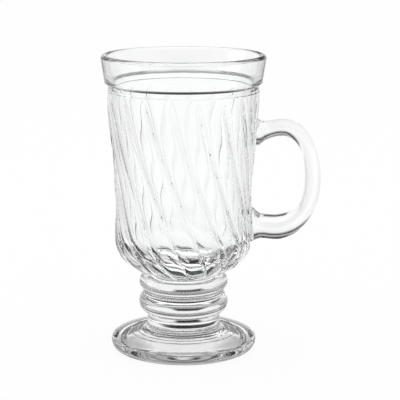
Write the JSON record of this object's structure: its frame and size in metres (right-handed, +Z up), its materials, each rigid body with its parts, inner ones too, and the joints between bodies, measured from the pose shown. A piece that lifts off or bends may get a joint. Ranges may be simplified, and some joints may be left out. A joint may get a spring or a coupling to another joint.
{
  "type": "irish coffee mug",
  "caption": "Footed clear glass mug with a tall bowl of swirled flutes, a plain flared rim band, a ringed stem, a domed round foot and a D-shaped side handle.",
  "frame": {"origin": "centre of the circle that the foot stands on, in the plane of the table", "axes": "+Z up along the mug's axis, +X towards the handle"},
  "size_m": [0.1062, 0.0794, 0.145],
  "materials": {
    "foot_glass": "clear soda-lime glass, fire polished, thick enough to look slightly grey",
    "stem_glass": "clear soda-lime glass, solid and fire polished",
    "bowl_glass": "clear soda-lime glass, pressed flutes outside and smooth inside",
    "handle_glass": "clear soda-lime glass, fire polished"
  },
  "bodies": {
    "root": {"foot": "foot_glass", "stem_neck": "stem_glass", "lower_knop": "stem_glass", "upper_knop": "stem_glass", "bowl": "bowl_glass", "rim_band": "bowl_glass", "handle": "handle_glass"}
  },
  "joints": []
}
